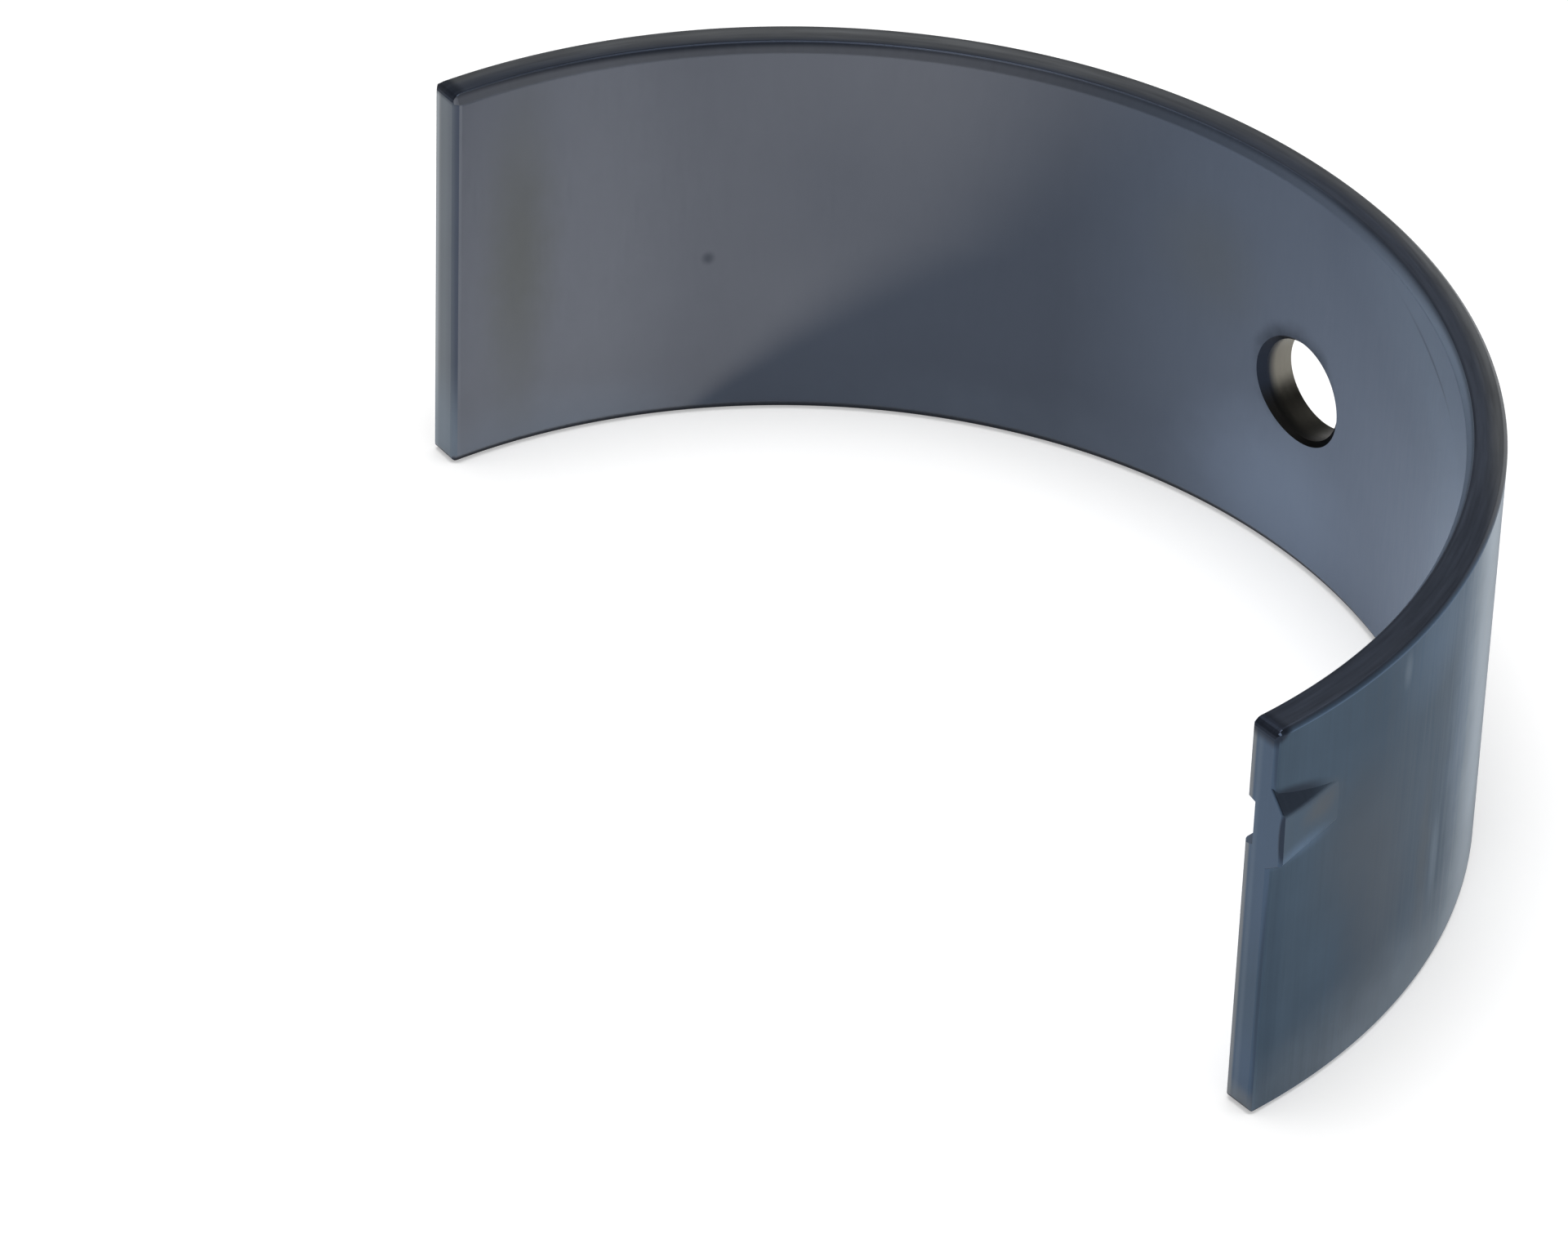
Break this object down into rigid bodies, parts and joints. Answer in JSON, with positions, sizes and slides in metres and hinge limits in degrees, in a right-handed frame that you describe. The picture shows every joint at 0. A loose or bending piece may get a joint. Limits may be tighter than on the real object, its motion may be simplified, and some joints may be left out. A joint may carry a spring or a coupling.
{
  "type": "engine bearing shell",
  "caption": "Half-round steel-backed engine bearing shell with a plain running surface, an oil hole at its crown and a pressed locating tang at one joint face.",
  "frame": {"origin": "on the axis of the running surface, at the middle of the shell's width", "axes": "+Z along the bearing axis, +Y towards the crown of the shell, +X towards the joint face with the tang"},
  "size_m": [0.0619, 0.0296, 0.021],
  "materials": {
    "shell": "satin, used"
  },
  "bodies": {
    "root": {"bearing_shell": "shell"}
  },
  "joints": []
}
